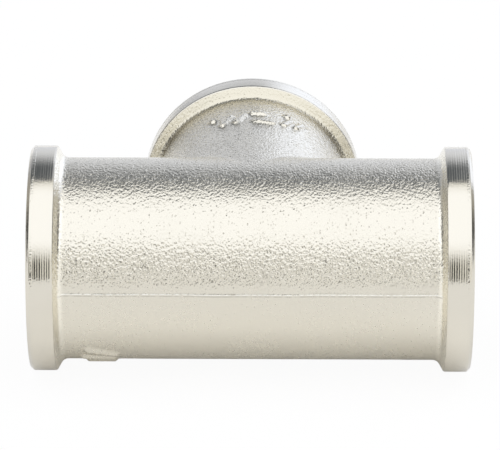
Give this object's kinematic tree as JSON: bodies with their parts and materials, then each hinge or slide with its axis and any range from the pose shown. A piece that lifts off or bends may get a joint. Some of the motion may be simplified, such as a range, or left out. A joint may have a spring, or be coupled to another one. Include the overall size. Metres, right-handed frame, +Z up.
{
  "type": "pipe tee",
  "caption": "Forged and nickel-plated brass pipe tee with three equal half-inch female threaded ends and turned collars.",
  "frame": {"origin": "crossing of the run's and the branch's axes, at the middle of the waterway", "axes": "+X along the run to its right end, +Y along the branch to its end, +Z up, square to the parting plane, with the tee lying flat on its three collars"},
  "size_m": [0.05, 0.0378, 0.0256],
  "materials": {
    "nickel_plated_brass": "nickel-plated: shot-blasted satin on the forged barrels, polished on the turned collars and faces"
  },
  "bodies": {
    "root": {"tee_body": "nickel_plated_brass"}
  },
  "joints": []
}
